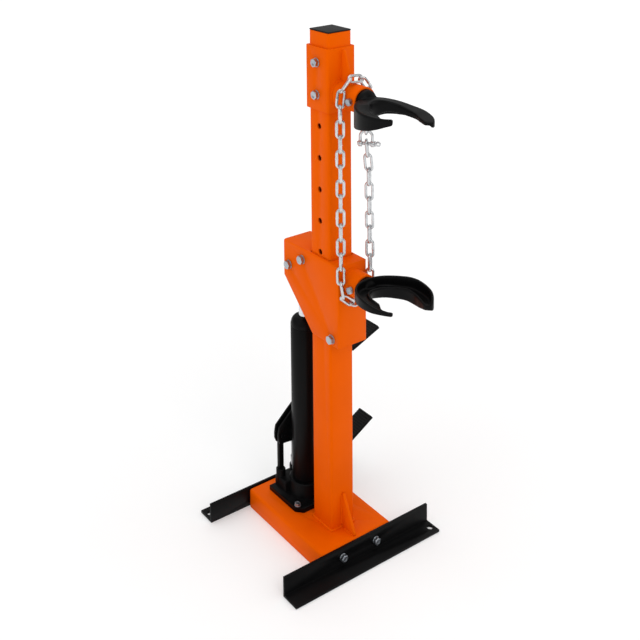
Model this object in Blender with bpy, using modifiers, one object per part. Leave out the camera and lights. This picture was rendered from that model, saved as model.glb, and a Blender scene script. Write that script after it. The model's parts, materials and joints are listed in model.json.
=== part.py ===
"""Foot-operated hydraulic coil-spring compressor stand.

Frame: origin on the column's axis at floor level, +Z up. The yokes point to -Y (front), the
hydraulic ram stands behind the column on +Y (rear), and the foot pedals stick out on +X
(right). Lengths are in millimetres; metres() and place() turn them into metres.
Pieces that move are parented to empties on their joints' axes.
"""
import itertools
import math

import bmesh
import bpy
import numpy as np
from mathutils import Matrix, Vector

# ---------------------------------------------------------------- driving dimensions (mm)
GAP = 0.3                       # clearance between touching pieces

COLUMN_WIDTH = 60.0
COLUMN_WALL = 4.0
COLUMN_TOP = 1085.0
COLUMN_PLATE_T = 5.0            # plate the column stands on
HOLE_HEIGHTS = [632.6 + 65.3 * i for i in range(7)]

BASE_HALF_X = 91.6
BASE_FRONT, BASE_REAR = -75.6, 178.9
BASE_HEIGHT = 41.0
BASE_SHEET = 4.0

BRACKET_WIDTH = 70.8
BRACKET_Z0, BRACKET_Z1 = 928.0, 1055.5

CARRIAGE_HALF_X = 37.0
CARRIAGE_FRONT, CARRIAGE_REAR = -64.0, 111.5
CARRIAGE_Z0, CARRIAGE_Z1 = 454.0, 624.0

UPPER_Z, LOWER_Z = 963.0, 586.0  # axes the two yokes swivel on
PIPE_R, PIPE_BORE_R = 27.0, 23.3
PIPE_END = -102.0               # y of the pipes' open front ends
RETAINER_Y = -91.0              # bolts that retain the yokes' spigots

JACK_Y = 94.0                   # axis of the ram
RAM_PIN_Z = 574.0
PUMP_X, PUMP_Y = 9.5, 139.0
FULCRUM = (-33.0, PUMP_Y, 168.0)
FULCRUM_X, _, PEDAL_PIN_Z = FULCRUM
RELEASE_PIVOT = (58.0, 120.0, 68.0)
RELEASE_X, RELEASE_Y, RELEASE_Z = RELEASE_PIVOT
VALVE_Z = 56.0

# name, y, z, radius, axle radius
ROLLERS = [("rear_roller", 50.0, 600.5, 19.5, 6.0),
           ("front_roller", -43.0, 467.0, 12.7, 5.0)]
RAM_PIN_R = 7.0

# ---------------------------------------------------------------- scene and materials
for old in list(bpy.data.objects):
    bpy.data.objects.remove(old, do_unlink=True)
PARTS = bpy.data.collections.new("spring_compressor")
CUTTERS = bpy.data.collections.new("cutters")
bpy.context.scene.collection.children.link(PARTS)
bpy.context.scene.collection.children.link(CUTTERS)


def material(name, rgb, roughness, metallic):
    mat = bpy.data.materials.new(name)
    mat.use_nodes = True
    shader = mat.node_tree.nodes["Principled BSDF"]
    shader.inputs["Base Color"].default_value = (*rgb, 1.0)
    shader.inputs["Roughness"].default_value = roughness
    shader.inputs["Metallic"].default_value = metallic
    return mat


ORANGE = material("orange_paint", rgb=(1.0, 0.13, 0.0), roughness=0.42, metallic=0.0)
BLACK = material("black_paint", rgb=(0.012, 0.012, 0.013), roughness=0.4, metallic=0.0)
RUBBER = material("black_rubber", rgb=(0.02, 0.02, 0.02), roughness=0.8, metallic=0.0)
PLASTIC = material("black_plastic", rgb=(0.02, 0.02, 0.02), roughness=0.5, metallic=0.0)
ZINC = material("zinc_plate", rgb=(0.62, 0.62, 0.60), roughness=0.32, metallic=1.0)
CHROME = material("hard_chrome", rgb=(0.8, 0.8, 0.82), roughness=0.08, metallic=1.0)
STEEL = material("machined_steel", rgb=(0.5, 0.5, 0.5), roughness=0.3, metallic=1.0)


# ---------------------------------------------------------------- small helpers
def metres(length):
    return length * 0.001


def place(point):
    return Vector(point) * 0.001


def span(half):
    """Range reaching half either side of zero."""
    return (-half, half)


def clamp01(value):
    return min(1.0, max(0.0, value))


# ---------------------------------------------------------------- joints
def joint_empty(name, at):
    empty = bpy.data.objects.new(name, None)
    empty.location = place(at)
    PARTS.objects.link(empty)
    return empty


JOINT_PLACES = {
    "carriage_axis": (0, 0, CARRIAGE_Z0),
    "bracket_axis": (0, 0, BRACKET_Z0),
    "upper_yoke_axis": (0, PIPE_END, UPPER_Z),
    "lower_yoke_axis": (0, PIPE_END, LOWER_Z),
    "pump_pedal_axis": FULCRUM,
    "plunger_axis": (PUMP_X, PUMP_Y, 100),
    "release_pedal_axis": RELEASE_PIVOT,
    "release_valve_axis": (40, RELEASE_Y, VALVE_Z),
}
for roller_name, roller_y, roller_z, *_ in ROLLERS:
    JOINT_PLACES[roller_name + "_axis"] = (0, roller_y, roller_z)
JOINTS = {name: joint_empty(name, at) for name, at in JOINT_PLACES.items()}


def attach(piece, joint):
    """Parent a piece to a joint's empty without moving it."""
    if joint:
        piece.parent = JOINTS[joint]
        piece.matrix_parent_inverse = Matrix.Translation(-JOINTS[joint].location)


# ---------------------------------------------------------------- objects and booleans
def mesh_object(name, shape, collection):
    bmesh.ops.recalc_face_normals(shape, faces=shape.faces)
    mesh = bpy.data.meshes.new(name)
    shape.to_mesh(mesh)
    shape.free()
    piece = bpy.data.objects.new(name, mesh)
    collection.objects.link(piece)
    return piece


def add(name, shape, mat, joint=None, smooth=30.0):
    """Put a bmesh in the scene as a named piece; edges over `smooth` degrees stay sharp."""
    piece = mesh_object(name, shape, PARTS)
    piece.data.materials.append(mat)
    piece.data.shade_smooth()
    piece.data.set_sharp_from_angle(angle=math.radians(smooth))
    attach(piece, joint)
    return piece


def add_helper(name, shape, target):
    """Hidden boolean operand that follows its target's parent."""
    helper = mesh_object(name, shape, CUTTERS)
    helper.hide_render = True
    helper.display_type = "WIRE"
    helper.parent = target.parent
    helper.matrix_parent_inverse = target.matrix_parent_inverse
    return helper


BOOLEAN_NUMBERS = itertools.count(1)


def boolean(piece, shape, operation):
    kind = operation.lower()
    name = f"{piece.name}_{kind[:3]}_{next(BOOLEAN_NUMBERS)}"
    helper = add_helper(name, shape, piece)
    modifier = piece.modifiers.new(kind, "BOOLEAN")
    modifier.operation = operation
    modifier.solver = "EXACT"
    modifier.object = helper


def cut(piece, shape):
    boolean(piece, shape, "DIFFERENCE")


def join(piece, shape):
    boolean(piece, shape, "UNION")


# ---------------------------------------------------------------- basic shapes
def box(x, y, z, bevel=0.0):
    shape = bmesh.new()
    bmesh.ops.create_cube(shape, size=1.0)
    bmesh.ops.scale(shape, vec=place([high - low for low, high in (x, y, z)]),
                    verts=shape.verts)
    bmesh.ops.translate(shape, vec=place([(low + high) / 2 for low, high in (x, y, z)]),
                        verts=shape.verts)
    if bevel:
        bmesh.ops.bevel(shape, geom=shape.edges[:], offset=metres(bevel), segments=1,
                        affect="EDGES", profile=0.5)
    return shape


def rod(start, end, radius, segments=24, bevel=0.0):
    """Cylinder from start to end."""
    start, end = Vector(start), Vector(end)
    shape = bmesh.new()
    bmesh.ops.create_cone(shape, cap_ends=True, segments=segments, radius1=metres(radius),
                          radius2=metres(radius), depth=metres((end - start).length))
    if bevel:
        rims = [e for e in shape.edges if abs(e.verts[0].co.z - e.verts[1].co.z) < 1e-7]
        bmesh.ops.bevel(shape, geom=rims, offset=metres(bevel), segments=1, affect="EDGES")
    turn = (end - start).normalized().to_track_quat("Z", "Y").to_matrix().to_4x4()
    middle = Matrix.Translation((start + end) * 0.0005)
    bmesh.ops.transform(shape, matrix=middle @ turn, verts=shape.verts)
    return shape


def rod_x(x, y, z, radius, segments=24, bevel=0.0):
    """Cylinder along X; x is its (start, end)."""
    return rod((x[0], y, z), (x[1], y, z), radius, segments, bevel)


def rod_y(x, y, z, radius, segments=24, bevel=0.0):
    """Cylinder along Y; y is its (start, end)."""
    return rod((x, y[0], z), (x, y[1], z), radius, segments, bevel)


def rod_z(x, y, z, radius, segments=24, bevel=0.0):
    """Cylinder along Z; z is its (start, end)."""
    return rod((x, y, z[0]), (x, y, z[1]), radius, segments, bevel)


def poly_curve(name, points, dimensions="3D"):
    curve = bpy.data.curves.new(name, "CURVE")
    curve.dimensions = dimensions
    spline = curve.splines.new("POLY")
    spline.points.add(len(points) - 1)
    for target, point in zip(spline.points, points):
        target.co = (*(metres(c) for c in point), 1.0)
    return curve


def wire_curve(name, points, radius, bevel_resolution):
    """Round wire along a run of points."""
    curve = poly_curve(name, points)
    curve.bevel_depth = metres(radius)
    curve.bevel_resolution = bevel_resolution
    curve.use_fill_caps = True
    curve.render_resolution_u = 0
    return curve


def curve_shape(curve):
    """Bmesh of a curve, which is used up."""
    carrier = bpy.data.objects.new("outline", curve)
    CUTTERS.objects.link(carrier)
    depsgraph = bpy.context.evaluated_depsgraph_get()
    mesh = bpy.data.meshes.new_from_object(carrier.evaluated_get(depsgraph))
    shape = bmesh.new()
    shape.from_mesh(mesh)
    bpy.data.objects.remove(carrier, do_unlink=True)
    bpy.data.curves.remove(curve)
    bpy.data.meshes.remove(mesh)
    bmesh.ops.remove_doubles(shape, verts=shape.verts, dist=1e-6)
    return shape


# from (outline's first axis, second axis, thickness) to (x, y, z)
PLANE_TURNS = {
    "yz": Matrix(((0, 0, 1), (1, 0, 0), (0, 1, 0))),
    "xz": Matrix(((1, 0, 0), (0, 0, 1), (0, 1, 0))),
    "xy": Matrix.Identity(3),
}


def plate(outline, thickness, plane, bevel=0.0):
    """Flat outline in the named plane, filling the `thickness` range of the third axis."""
    low, high = thickness
    curve = poly_curve("outline", [(*point, 0.0) for point in outline], "2D")
    curve.fill_mode = "BOTH"
    curve.extrude = metres((high - low) / 2)
    curve.splines[0].use_cyclic_u = True
    shape = curve_shape(curve)
    bmesh.ops.dissolve_limit(shape, angle_limit=0.001, verts=shape.verts, edges=shape.edges)
    turn = PLANE_TURNS[plane]
    middle = turn @ Vector((0, 0, metres((low + high) / 2)))
    bmesh.ops.transform(shape, matrix=Matrix.Translation(middle) @ turn.to_4x4(),
                        verts=shape.verts)
    if bevel:
        bmesh.ops.recalc_face_normals(shape, faces=shape.faces)
        bmesh.ops.bevel(shape, geom=shape.edges[:], offset=metres(bevel), segments=1,
                        affect="EDGES")
    return shape


def turned(name, profile, at, mat, steps, joint=None, along_x=False):
    """Closed (radius, height) profile turned round Z, or round X, with a Screw modifier."""
    mesh = bpy.data.meshes.new(name)
    count = len(profile)
    mesh.from_pydata([(metres(r), 0.0, metres(z)) for r, z in profile],
                     [(i, (i + 1) % count) for i in range(count)], [])
    piece = bpy.data.objects.new(name, mesh)
    PARTS.objects.link(piece)
    mesh.materials.append(mat)
    piece.location = place(at)
    if along_x:
        piece.rotation_euler = (0.0, math.pi / 2, 0.0)
    screw = piece.modifiers.new("turn", "SCREW")
    screw.angle = math.tau
    screw.steps = screw.render_steps = steps
    screw.use_merge_vertices = True
    screw.merge_threshold = 1e-5
    screw.use_smooth_shade = False
    attach(piece, joint)


def tube_profile(outer, inner, top, bottom):
    return [(outer, top), (outer, bottom), (inner, bottom), (inner, top)]


def open_shell(x, y, z, is_open, is_rounded, radius, segments=3):
    """Box surface without the faces is_open(normal) picks, and with the edges
    is_rounded(midpoint in mm, direction) picks rounded."""
    shape = box(x, y, z)
    shape.normal_update()
    edges = []
    for edge in shape.edges:
        start, end = (vert.co for vert in edge.verts)
        if is_rounded((start + end) * 500, (end - start).normalized()):
            edges.append(edge)
    gone = [face for face in shape.faces if is_open(face.normal)]
    bmesh.ops.delete(shape, geom=gone, context="FACES_ONLY")
    edges = [edge for edge in edges if edge.is_valid and len(edge.link_faces) == 2]
    bmesh.ops.bevel(shape, geom=edges, offset=metres(radius), segments=segments,
                    affect="EDGES", profile=0.5)
    return shape


def add_sheet(name, shell, thickness, joint=None):
    """Orange open shell given its sheet thickness inwards."""
    piece = add(name, shell, ORANGE, joint)
    sheet = piece.modifiers.new("sheet", "SOLIDIFY")
    sheet.thickness = metres(thickness)
    sheet.offset = -1.0
    sheet.use_even_offset = True
    sheet.use_quality_normals = True
    return piece


def square_tube(name, width, z, wall, corner, joint=None):
    shell = open_shell(span(width / 2), span(width / 2), z,
                       is_open=lambda normal: abs(normal.z) > 0.9,
                       is_rounded=lambda middle, run: abs(run.z) > 0.9, radius=corner)
    return add_sheet(name, shell, wall, joint)


# ---------------------------------------------------------------- bolts
WASHER_T = 1.6


def bolt(name, under, direction, radius, grip, joint=None, flats=16.0, head=7.0, nut=8.0):
    """Hex bolt with washer and nut: the washer lies on `under`, and the shank runs along
    direction through `grip` of metal. flats is the width across the hexagons' flats."""
    run = Vector(direction).normalized()
    seat = Vector(under)
    top = seat - run * (head + WASHER_T)
    corner_r = flats / math.sqrt(3)
    piece = add(name, rod(top, seat + run * (grip + nut + 2), radius, 12), ZINC, joint)
    join(piece, rod(top, seat - run * (WASHER_T - 0.3), corner_r, 6))
    join(piece, rod(seat - run * WASHER_T, seat, flats * 0.585, 16))
    join(piece, rod(seat + run * grip, seat + run * (grip + nut), corner_r, 6))


def cross_bolt(name, half_width, y, z, radius, joint):
    """Bolt along X right through a piece half_width to either side; head on the left."""
    bolt(name, (-half_width - GAP, y, z), (1, 0, 0), radius, 2 * half_width + 2 * GAP, joint)


def retaining_bolt(name, z, joint):
    """Short bolt through the pipe's wall; its tip runs in the yoke spigot's groove."""
    head_end = -PIPE_R - 8
    piece = add(name, rod_x((head_end, -20.6), RETAINER_Y, z, 4.0, 16), ZINC, joint)
    join(piece, rod_x((head_end, -PIPE_R - 0.4), RETAINER_Y, z, 7.3, 6, bevel=0.8))


# ---------------------------------------------------------------- base and feet
FOOT_LENGTH = 382.0
FOOT_T = 5.0                    # thickness of the angle's two flanges
FOOT_UPRIGHT = 42.0
FOOT_REACH = 41.0
FOOT_BOLT_Z = 21.8
FOOT_BOLT_SIDES = [("left", -44), ("right", 44)]
# end, y of the base's edge, outward direction along Y, y of the bolt-down hole
FEET = [("front", BASE_FRONT, -1, -100.0), ("rear", BASE_REAR, 1, 202.0)]


def foot_bolt_hole(x, y):
    return rod_y(x, (y - 10, y + 10), FOOT_BOLT_Z, 5.4, 16)


def build_base():
    """Folded sheet box, open below, with an opening for the column."""
    base = add_sheet("base_frame", open_shell(
        span(BASE_HALF_X), (BASE_FRONT, BASE_REAR), (0, BASE_HEIGHT),
        is_open=lambda normal: normal.z < -0.9,
        is_rounded=lambda middle, run: middle.z > BASE_HEIGHT - 1 or abs(run.z) > 0.9,
        radius=6.5), BASE_SHEET)
    opening = span(COLUMN_WIDTH / 2 + GAP)
    cut(base, box(opening, opening, (25, 60)))
    for _, edge, _, _ in FEET:
        for _, x in FOOT_BOLT_SIDES:
            cut(base, foot_bolt_hole(x, edge))
    return base


def build_feet():
    """Two lengths of angle; both are the same part turned round, so their bolt-down holes
    lie at opposite corners."""
    for end, edge, out, hole_y in FEET:
        inner = edge + out * GAP
        tip, face = inner + out * FOOT_REACH, inner + out * FOOT_T
        foot = add(end + "_foot", plate(
            [(inner, 0), (tip, 0), (tip, FOOT_T), (face, FOOT_T),
             (face, FOOT_UPRIGHT), (inner, FOOT_UPRIGHT)],
            span(FOOT_LENGTH / 2), "yz"), BLACK)
        for _, x in FOOT_BOLT_SIDES:
            cut(foot, foot_bolt_hole(x, inner))
        cut(foot, rod_z(-out * 180, hole_y, (-5, 12), 6.5, 20))


def build_foot_bolts():
    for end, edge, out, _ in FEET:
        for side, x in FOOT_BOLT_SIDES:
            bolt(f"{end}_foot_bolt_{side}", (x, edge + out * (GAP * 2 + FOOT_T), FOOT_BOLT_Z),
                 (0, -out, 0), 5.0, FOOT_T + GAP * 3 + BASE_SHEET,
                 flats=14.0, head=6.0, nut=7.0)


# ---------------------------------------------------------------- column
def build_column():
    add("column_foot_plate", box(span(BASE_HALF_X - BASE_SHEET - GAP), span(45),
                                 (0, COLUMN_PLATE_T)), ORANGE)
    column = square_tube("column", COLUMN_WIDTH, (COLUMN_PLATE_T + GAP, COLUMN_TOP),
                         COLUMN_WALL, corner=5.0)
    for z in HOLE_HEIGHTS:
        cut(column, rod_x(span(40), 0, z, 6.2, 16))


def build_gusset():
    """Upright web in the corner between the column's front and the base."""
    back, bottom, top = -COLUMN_WIDTH / 2 - GAP, BASE_HEIGHT + GAP, 115
    outline = [(back, bottom), (-68, bottom), (-68, 46), (-34, top), (back, top)]
    add("column_gusset", plate(outline, span(3), "yz"), ORANGE)


def build_column_cap():
    lid = span(COLUMN_WIDTH / 2 - GAP)
    plug = span(COLUMN_WIDTH / 2 - COLUMN_WALL - 2 * GAP)
    cap = add("column_cap", box(lid, lid, (COLUMN_TOP + GAP, COLUMN_TOP + 3.2), 1.2), PLASTIC)
    join(cap, box(plug, plug, (COLUMN_TOP - 16, COLUMN_TOP + 2), 2.0))


# ---------------------------------------------------------------- upper bracket
def pipe(start_y, z):
    """Solid stub, forwards from start_y, that bore_pipe() turns into a pipe."""
    return rod_y(0, (start_y, PIPE_END), z, PIPE_R, 32)


def bore_pipe(piece, start_y, z):
    """Bore for the spigot and the retaining bolt's hole."""
    cut(piece, rod_y(0, (start_y, PIPE_END - 5), z, PIPE_BORE_R, 32))
    cut(piece, rod_x((-40, -15), RETAINER_Y, z, 4.3, 16))


def build_bracket():
    """Sleeve round the column, with a pipe and a web above it, bolted through the
    column's two topmost holes."""
    bracket = square_tube("upper_bracket", BRACKET_WIDTH, (BRACKET_Z0, BRACKET_Z1),
                          wall=4.6, corner=6.0, joint="bracket_axis")
    web = [(-34, 1052), (-45, 1052), (-61, 1006), (-63, 984), (-34, 984)]
    join(bracket, pipe(-33, UPPER_Z))
    join(bracket, plate(web, span(2.5), "yz"))
    bore_pipe(bracket, -40, UPPER_Z)
    for z in HOLE_HEIGHTS[5:]:
        cut(bracket, rod_x(span(40), 0, z, 5.8, 16))
    for level, z in zip(("lower", "upper"), HOLE_HEIGHTS[5:]):
        cross_bolt("bracket_bolt_" + level, BRACKET_WIDTH / 2, 0, z, 5.4, "bracket_axis")
    retaining_bolt("upper_yoke_bolt", UPPER_Z, "bracket_axis")


# ---------------------------------------------------------------- yokes
JAW_CENTRE_Y = -184.0
JAW_OUTER_R, JAW_INNER_R = 75.0, 46.0
JAW_WALL = 5.0
JAW_STEPS = 22
NEAR_TIP, FAR_TIP = -134.0, 140.0  # ends of the short and long arm, degrees from the root
HUB_R = 22.9

# angle round the jaw, heights of its lower and upper face above the pivot; both jaws follow
# the helix of a coil and thin out towards their tips
UPPER_JAW = [
    (-134, -7, 4), (-120, -14, 4), (-105, -21, 5), (-90, -26, 6), (-75, -29.5, 7),
    (-60, -33, 9), (-30, -38, 10), (0, -38, 10), (25, -27, 6), (50, -28, -0.5),
    (75, -30.5, -8.5), (90, -30.5, -10), (105, -29.5, -14), (118, -28.5, -16),
    (124, -31, -17), (140, -29, -19)]
LOWER_JAW = [
    (-134, 10, 17), (-120, 10.5, 18), (-105, 9, 21), (-90, 9, 26), (-60, 6, 28),
    (-30, 0, 26.5), (0, -7, 25), (45, -12, 24), (75, -12, 27), (90, -14, 24.5),
    (105, -13, 21.5), (118, -11, 20), (130, -8, 15), (140, -5, 9)]


def jaw_radii(angle):
    """Outer and inner radius: a narrow tongue ends the short arm, a blunt finger the
    long one."""
    near = clamp01((-angle - 98.0) / 20.0)
    near = near * near * (3 - 2 * near)
    far = clamp01((angle - 112.0) / 28.0) ** 1.6
    return JAW_OUTER_R - 2.0 * near - 4.5 * far, JAW_INNER_R + 15.0 * near + 9.0 * far


def jaw_section(table, angle, opens_up):
    """(radius, height) section: a channel between a tall outer wall and a low inner lip."""
    angles, lows, highs = zip(*table)
    low, high = np.interp(angle, angles, lows), np.interp(angle, angles, highs)
    outer, inner = jaw_radii(angle)
    depth = high - low
    floor, lip, corner = 0.42 * depth, 0.35 * depth, 0.1 * depth
    wall = min(JAW_WALL, (outer - inner) * 0.3)
    if opens_up:
        return [(outer, low + corner), (outer, high), (outer - wall, high),
                (outer - wall, low + floor), (inner + wall, low + floor),
                (inner + wall, high - lip), (inner, high - lip), (inner, low + corner),
                (inner + 2, low), (outer - 2, low)]
    # the top slopes down to the inner side along the short arm
    inner_high = high - 0.22 * depth * clamp01((-angle - 45) / 30)
    return [(outer, low), (outer, high - corner), (outer - 2, high), (inner + 2, inner_high),
            (inner, inner_high - corner), (inner, low + lip), (inner + wall, low + lip),
            (inner + wall, inner_high - floor), (outer - wall, inner_high - floor),
            (outer - wall, low)]


def bridge(shape, ring, following):
    """Quads between two rings of vertices."""
    count = len(ring)
    for k in range(count):
        after = (k + 1) % count
        shape.faces.new((ring[k], ring[after], following[after], following[k]))


def jaw(table, pivot_z, opens_up):
    """C-shaped jaw lofted through its sections. Angle 0 faces the column, + turns to +X."""
    shape = bmesh.new()
    rings = []
    for i in range(JAW_STEPS + 1):
        angle = NEAR_TIP + (FAR_TIP - NEAR_TIP) * i / JAW_STEPS
        sine, cosine = math.sin(math.radians(angle)), math.cos(math.radians(angle))
        rings.append([
            shape.verts.new(place((r * sine, JAW_CENTRE_Y + r * cosine, pivot_z + z)))
            for r, z in jaw_section(table, angle, opens_up)])
    for ring, following in zip(rings, rings[1:]):
        bridge(shape, ring, following)
    shape.faces.new(rings[0])
    shape.faces.new(rings[-1][::-1])
    return shape


def build_yoke(name, pivot_z, table, opens_up):
    """Jaw on a round hub, with a grooved spigot that turns in its pipe."""
    yoke = add(name, jaw(table, pivot_z, opens_up), BLACK, name + "_axis")
    join(yoke, rod_y(0, (PIPE_END - GAP, PIPE_END - 9.5), pivot_z, HUB_R, bevel=1.0))
    join(yoke, rod_y(0, (PIPE_END - 6, -66.6), pivot_z, PIPE_BORE_R - 0.35))
    # the ring cut away leaves the groove the retaining bolt's tip runs in
    ring = add_helper(name + "_groove", rod_y(0, (RETAINER_Y - 6, RETAINER_Y + 6),
                                              pivot_z, 27.0), yoke)
    cut(ring, rod_y(0, (RETAINER_Y - 7, RETAINER_Y + 7), pivot_z, 19.2))
    groove = yoke.modifiers.new("groove", "BOOLEAN")
    groove.operation = "DIFFERENCE"
    groove.object = ring


# ---------------------------------------------------------------- carriage
def build_carriage():
    """Housing that slides on the column, open below and behind."""
    carriage = add_sheet("carriage", open_shell(
        span(CARRIAGE_HALF_X), (CARRIAGE_FRONT, CARRIAGE_REAR), (CARRIAGE_Z0, CARRIAGE_Z1),
        is_open=lambda normal: normal.z < -0.9 or normal.y > 0.9,
        is_rounded=lambda middle, run: ((abs(run.z) > 0.9 and middle.y < 0)
                                        or (abs(run.y) > 0.9 and middle.z > CARRIAGE_Z1 - 1)),
        radius=4.0, segments=2), 4.0, "carriage_axis")
    opening = span(31.2)
    cut(carriage, box(opening, opening, (CARRIAGE_Z1 - 15, CARRIAGE_Z1 + 10)))
    # lower rear corner, sloped off at 45 degrees
    corner = box(span(60), span(100), (-120, 0))
    slope = Matrix.Rotation(math.radians(45), 4, "X")
    bmesh.ops.transform(corner, matrix=Matrix.Translation(place((0, 62.5, 497.5))) @ slope,
                        verts=corner.verts)
    cut(carriage, corner)
    join(carriage, pipe(-62, LOWER_Z))
    bore_pipe(carriage, -66, LOWER_Z)
    axles = [(y, z, axle_r) for _, y, z, _, axle_r in ROLLERS]
    for y, z, radius in axles + [(JACK_Y, RAM_PIN_Z, RAM_PIN_R)]:
        cut(carriage, rod_x(span(45), y, z, radius + 0.3, 20))
    retaining_bolt("lower_yoke_bolt", LOWER_Z, "carriage_axis")


def build_rollers():
    for name, y, z, radius, axle_r in ROLLERS:
        bore_r = axle_r + 0.3
        turned(name, [(radius - 1, 24), (radius, 23), (radius, -23), (radius - 1, -24),
                      (bore_r, -24), (bore_r, 24)],
               (0, y, z), STEEL, 28, name + "_axis", along_x=True)
        cross_bolt(name + "_axle", CARRIAGE_HALF_X, y, z, axle_r, "carriage_axis")
    cross_bolt("ram_pin", CARRIAGE_HALF_X, JACK_Y, RAM_PIN_Z, RAM_PIN_R, "carriage_axis")


# ---------------------------------------------------------------- hydraulic ram
JACK_PLATE_T = 10               # from the base's top to the jack plate's top
JACK_PLATE_OUTLINE = [(-42, 46), (46, 46), (60, 60), (60, 150), (-56, 150), (-56, 60)]  # x, y
JACK_BOLTS = [("left", -47), ("right", 47)]
JACK_BOLT_Y = 62
SOCKET_TOP = 84                 # top of the jack base's round sockets
BODY_R = 28.5
BODY_Z0, BODY_Z1 = SOCKET_TOP + GAP, 430.0
ROD_R = 10.5
ROD_BORE_R = ROD_R + 0.4


def build_jack_base(base):
    """Jack's foot, bolted to the base frame."""
    plate_top = BASE_HEIGHT + JACK_PLATE_T
    jack = add("jack_base", plate(JACK_PLATE_OUTLINE, (BASE_HEIGHT + GAP, plate_top), "xy"),
               BLACK)
    join(jack, rod_z(0, JACK_Y, (48, SOCKET_TOP), 35.0, bevel=2.0))
    join(jack, box((-43, 41.5), (110, 148), (48, 74), 2.0))
    join(jack, rod_z(PUMP_X, PUMP_Y, (60, SOCKET_TOP), 15.0, 18, bevel=1.5))
    join(jack, rod_z(FULCRUM_X, PUMP_Y, (60, 90), 10.5, 16, bevel=1.5))
    # ears that carry the release pedal, and the bore its valve works in
    for ear_y in ((101, 106), (134, 139)):
        join(jack, box((40, 66), ear_y, (48, 76)))
    cut(jack, rod_y(RELEASE_X, (95, 145), RELEASE_Z, 4.3, 16))
    cut(jack, rod_x((20, 50), RELEASE_Y, VALVE_Z, 4.4, 16))
    # stepped bore for the pump cylinder
    cut(jack, rod_z(PUMP_X, PUMP_Y, (66, 90), 9.4, 16))
    cut(jack, rod_z(PUMP_X, PUMP_Y, (56, 68), 8.0, 16))
    for side, x in JACK_BOLTS:
        cut(jack, rod_z(x, JACK_BOLT_Y, (35, 60), 4.4, 16))
        cut(base, rod_z(x, JACK_BOLT_Y, (30, 60), 4.4, 16))
        bolt("jack_bolt_front_" + side, (x, JACK_BOLT_Y, plate_top + GAP), (0, 0, -1), 4.0,
             JACK_PLATE_T + 2 * GAP + BASE_SHEET, flats=11.5, head=4.5, nut=6.0)


def build_jack_body():
    """Reservoir, the cylinder inside it, and the gland that closes them round the rod."""
    at = (0, JACK_Y, 0)
    turned("jack_reservoir", tube_profile(BODY_R, BODY_R - 3.5, BODY_Z1, BODY_Z0),
           at, BLACK, 28)
    turned("ram_cylinder", tube_profile(18.5, 14.8, BODY_Z1 - 3, BODY_Z0), at, STEEL, 24)
    turned("jack_gland", [(15, 452), (20, 450.5), (25.5, 444), (BODY_R, 434),
                          (BODY_R, BODY_Z1 + GAP), (BODY_R - 4, BODY_Z1 + GAP),
                          (BODY_R - 4, BODY_Z1 - 2), (ROD_BORE_R, BODY_Z1 - 2),
                          (ROD_BORE_R, 452)], at, BLACK, 24)


def build_ram():
    """Piston, rod and head, which lift the carriage by the ram pin."""
    joint = "carriage_axis"
    piston_top = 114
    rod_top = 557
    turned("ram_piston", tube_profile(14.4, 4.4, piston_top, 92), (0, JACK_Y, 0), STEEL, 24,
           joint)
    ram_rod = add("ram_rod", rod_z(0, JACK_Y, (piston_top + GAP, rod_top), ROD_R), CHROME,
                  joint)
    join(ram_rod, rod_z(0, JACK_Y, (90, 116), 4.1, 16))
    join(ram_rod, rod_z(0, JACK_Y, (556, 562), 7.0, 16))
    head = add("ram_head", box(span(15), (80, 107), (rod_top + GAP, 592), 3.0), BLACK, joint)
    cut(head, rod_x(span(20), JACK_Y, RAM_PIN_Z, RAM_PIN_R + 0.3, 20))
    cut(head, rod_z(0, JACK_Y, (550, 563), 7.4, 16))
    half = 8.6
    for side, x in (("left", -24.0), ("right", 24.0)):
        turned("ram_spacer_" + side, tube_profile(11, RAM_PIN_R + 0.3, half, -half),
               (x, JACK_Y, RAM_PIN_Z), STEEL, 20, joint, along_x=True)


# ---------------------------------------------------------------- pump and its pedal
def pedal_pin(name, x, radius, joint=None):
    add(name, rod_y(x, (PUMP_Y - 10, PUMP_Y + 10), PEDAL_PIN_Z, radius, 12, bevel=0.6),
        ZINC, joint)


def build_pump():
    """Pump cylinder and the plunger the pedal presses down."""
    turned("pump_cylinder", [(11, 104), (12, 103), (12, SOCKET_TOP + GAP),
                             (9, SOCKET_TOP + GAP), (9, 68), (6.4, 68), (6.4, 104)],
           (PUMP_X, PUMP_Y, 0), STEEL, 18)
    plunger = add("pump_plunger", rod_z(PUMP_X, PUMP_Y, (76, 145), 6.0, 16), STEEL,
                  "plunger_axis")
    join(plunger, rod_z(PUMP_X, PUMP_Y, (137, 140.5), 12.0, 16))
    join(plunger, box((PUMP_X - 8.5, PUMP_X + 8.5), (PUMP_Y - 4, PUMP_Y + 4), (143, 178), 1.5))
    cut(plunger, rod_y(PUMP_X, (PUMP_Y - 12, PUMP_Y + 12), PEDAL_PIN_Z, 5.3, 12))
    pedal_pin("plunger_pin", PUMP_X, 4.9, "plunger_axis")


def build_return_spring():
    """Coil squeezed between the pump cylinder and the plunger's collar."""
    turns, steps_per_turn = 6, 9
    coil_r, bottom, top = 9.4, 105.6, 135.4
    steps = turns * steps_per_turn
    points = []
    for i in range(steps + 1):
        angle = math.tau * turns * i / steps
        points.append((coil_r * math.cos(angle), coil_r * math.sin(angle),
                       bottom + (top - bottom) * i / steps))
    curve = wire_curve("pump_return_spring", points, radius=1.2, bevel_resolution=0)
    spring = bpy.data.objects.new("pump_return_spring", curve)
    spring.location = place((PUMP_X, PUMP_Y, 0))
    PARTS.objects.link(spring)
    curve.materials.append(STEEL)


# x from the fulcrum, z
FULCRUM_LINK = [(-6.2, 90.5), (5.4, 90.5), (5.4, 158), (7, 165), (7, 171),
                (3, 176), (-3, 176), (-7, 171), (-7, 165), (-6.2, 158)]


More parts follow.
